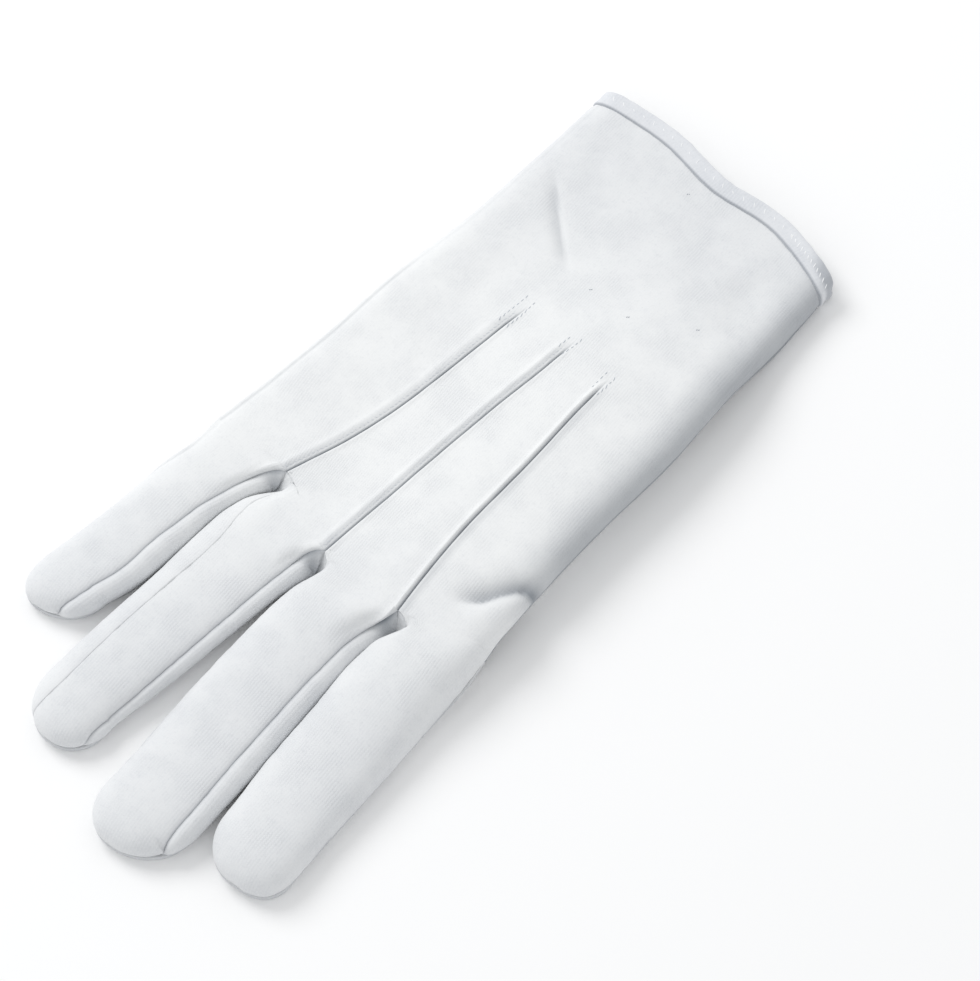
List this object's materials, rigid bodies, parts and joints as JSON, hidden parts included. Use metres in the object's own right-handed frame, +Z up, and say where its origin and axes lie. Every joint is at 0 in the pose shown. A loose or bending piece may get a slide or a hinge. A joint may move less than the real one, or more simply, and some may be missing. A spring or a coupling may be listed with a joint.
{
  "type": "ribbed dress glove, right hand",
  "caption": "White knitted-cotton dress glove for the right hand, lying palm down with raised points on its back and the thumb folded under.",
  "frame": {"origin": "on the floor, under the middle of the glove's outline", "axes": "+Z up from the floor through the palm to the back of the hand, +Y from the fingertips to the cuff, +X from the little finger to the index finger"},
  "size_m": [0.111, 0.25, 0.0157],
  "materials": {
    "cotton": "matt interlock knit",
    "cotton_hem": "matt interlock knit, turned and overstitched"
  },
  "bodies": {
    "root": {"back_panel": "cotton", "palm_panel": "cotton", "fourchette_pinky_ring": "cotton", "fourchette_ring_middle": "cotton", "fourchette_middle_index": "cotton", "thumb": "cotton", "cuff_hem": "cotton_hem"}
  },
  "joints": []
}
